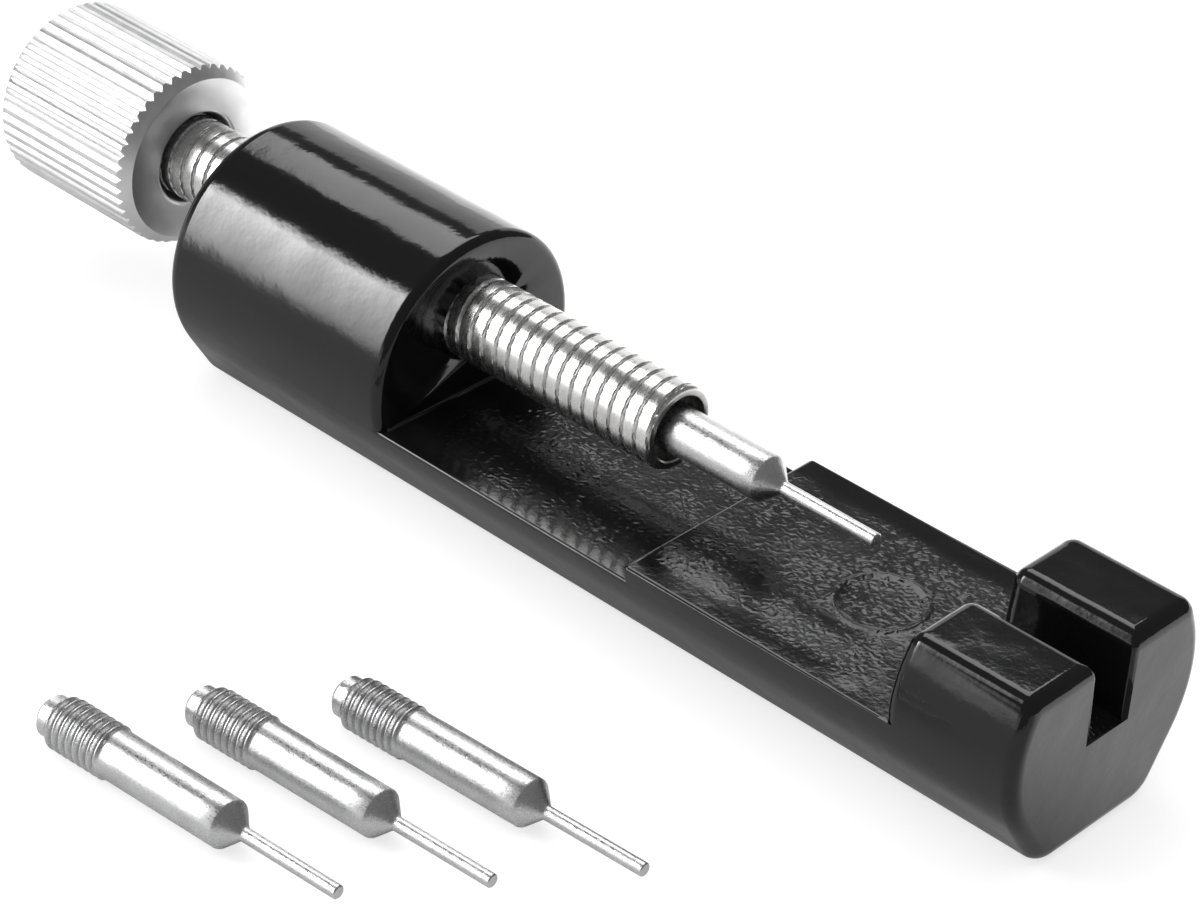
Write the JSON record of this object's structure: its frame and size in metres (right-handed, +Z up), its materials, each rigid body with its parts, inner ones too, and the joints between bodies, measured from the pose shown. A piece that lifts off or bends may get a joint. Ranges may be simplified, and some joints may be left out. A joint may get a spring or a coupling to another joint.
{
  "type": "bracelet link pin press",
  "caption": "Hand press for bracelet link pins: a knurled knob drives a threaded spindle and a thin punch pin over an open cradle towards a slotted end block.",
  "frame": {"origin": "middle of the frame's flat base, at its underside", "axes": "+X along the spindle from the knob to the slotted end block, +Z up from the base, +Y across the frame"},
  "size_m": [0.079, 0.0422, 0.0155],
  "materials": {
    "frame_coat": "gloss black coat on a die-cast body",
    "spindle_plate": "bright nickel plate",
    "knob_metal": "satin turned, straight knurl",
    "pin_steel": "ground steel"
  },
  "bodies": {
    "frame": {"frame": "frame_coat"},
    "press_pin": {"punch_pin": "pin_steel"},
    "screw": {"spindle": "spindle_plate", "knob": "knob_metal"},
    "spare_1": {"spare_pin_1": "pin_steel"},
    "spare_2": {"spare_pin_2": "pin_steel"},
    "spare_3": {"spare_pin_3": "pin_steel"}
  },
  "joints": [
    {"name": "advance", "type": "slide", "parent": "frame", "child": "press_pin", "axis": [1, 0, 0], "range_m": [-0.015, 0.0056]},
    {"name": "turn", "type": "hinge", "parent": "press_pin", "child": "screw", "pos_m": [0, 0, 0.0099], "axis": [1, 0, 0], "range_deg": [-5685, 2123]},
    {"name": "lift_spare_1", "type": "slide", "parent": "frame", "child": "spare_1", "axis": [0, 0, 1], "range_m": [0, 0.03]},
    {"name": "lift_spare_2", "type": "slide", "parent": "frame", "child": "spare_2", "axis": [0, 0, 1], "range_m": [0, 0.03]},
    {"name": "lift_spare_3", "type": "slide", "parent": "frame", "child": "spare_3", "axis": [0, 0, 1], "range_m": [0, 0.03]}
  ],
  "couplings": [
    {"joint": "turn", "follows": "advance", "rad_per_m": 6613.9}
  ]
}
